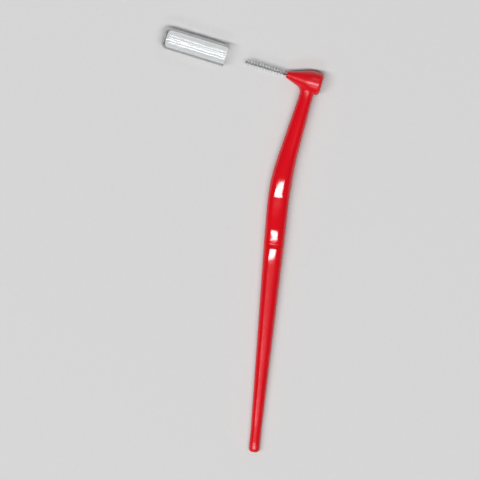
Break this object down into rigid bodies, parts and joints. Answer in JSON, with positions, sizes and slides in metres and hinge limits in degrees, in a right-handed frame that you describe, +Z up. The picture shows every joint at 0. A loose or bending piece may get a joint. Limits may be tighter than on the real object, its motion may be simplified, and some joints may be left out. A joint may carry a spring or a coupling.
{
  "type": "interdental brush",
  "caption": "Angled interdental brush: bent plastic handle with a horn-shaped head, twisted wire set with nylon filaments square to the neck, and a clear cap that slides over the bristles.",
  "frame": {"origin": "on the table, under the middle of the box around the brush and its cap", "axes": "+X along the wire from its tip to the head, +Y from the tail to the head, +Z up from the table"},
  "size_m": [0.0524, 0.094, 0.0055],
  "materials": {
    "handle_plastic": "glossy",
    "wire_steel": "bright drawn",
    "filament_nylon": "satin",
    "cap_plastic": "clear glossy"
  },
  "bodies": {
    "brush": {"handle": "handle_plastic", "core_wire": "wire_steel", "filaments": "filament_nylon"},
    "cap": {"protective_cap": "cap_plastic"}
  },
  "joints": [
    {"name": "cap_slide", "type": "slide", "parent": "brush", "child": "cap", "axis": [1, 0, 0], "range_m": [0, 0.01922]}
  ]
}
